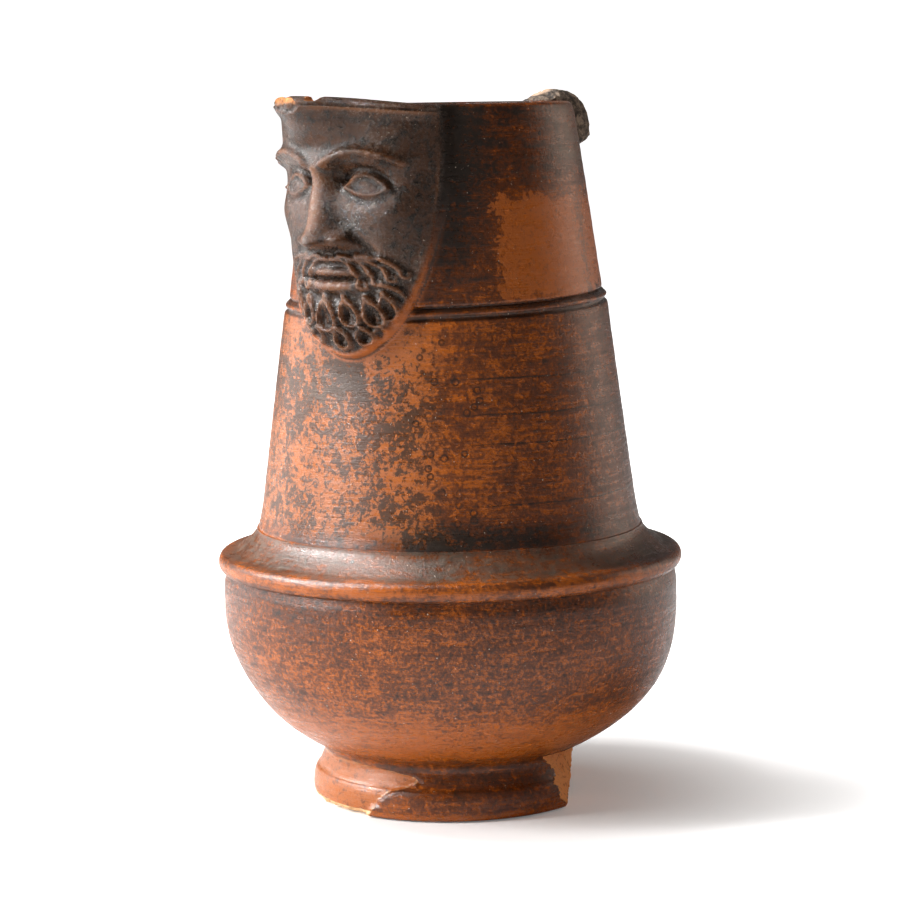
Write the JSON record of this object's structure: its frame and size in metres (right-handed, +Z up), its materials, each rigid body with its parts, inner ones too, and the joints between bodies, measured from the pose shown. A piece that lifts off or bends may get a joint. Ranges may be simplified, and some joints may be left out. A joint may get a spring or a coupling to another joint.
{
  "type": "terracotta oil jug",
  "caption": "Wheel-thrown terracotta jug on a ring foot, with a bearded mask under a pinched pouring lip, the broken root of a handle and a chipped foot.",
  "frame": {"origin": "on the wheel axis, at the level that the ring foot stands on", "axes": "+Z up along the wheel axis; -Y towards the mask and the pouring lip; +Y towards the root of the handle"},
  "size_m": [0.1076, 0.1076, 0.1629],
  "materials": {
    "slipped_terracotta": "thin glossy brown slip over orange clay, worn through at edges, with dark fire clouds, grey bloom and porous broken faces"
  },
  "bodies": {
    "root": {"jug": "slipped_terracotta"}
  },
  "joints": []
}
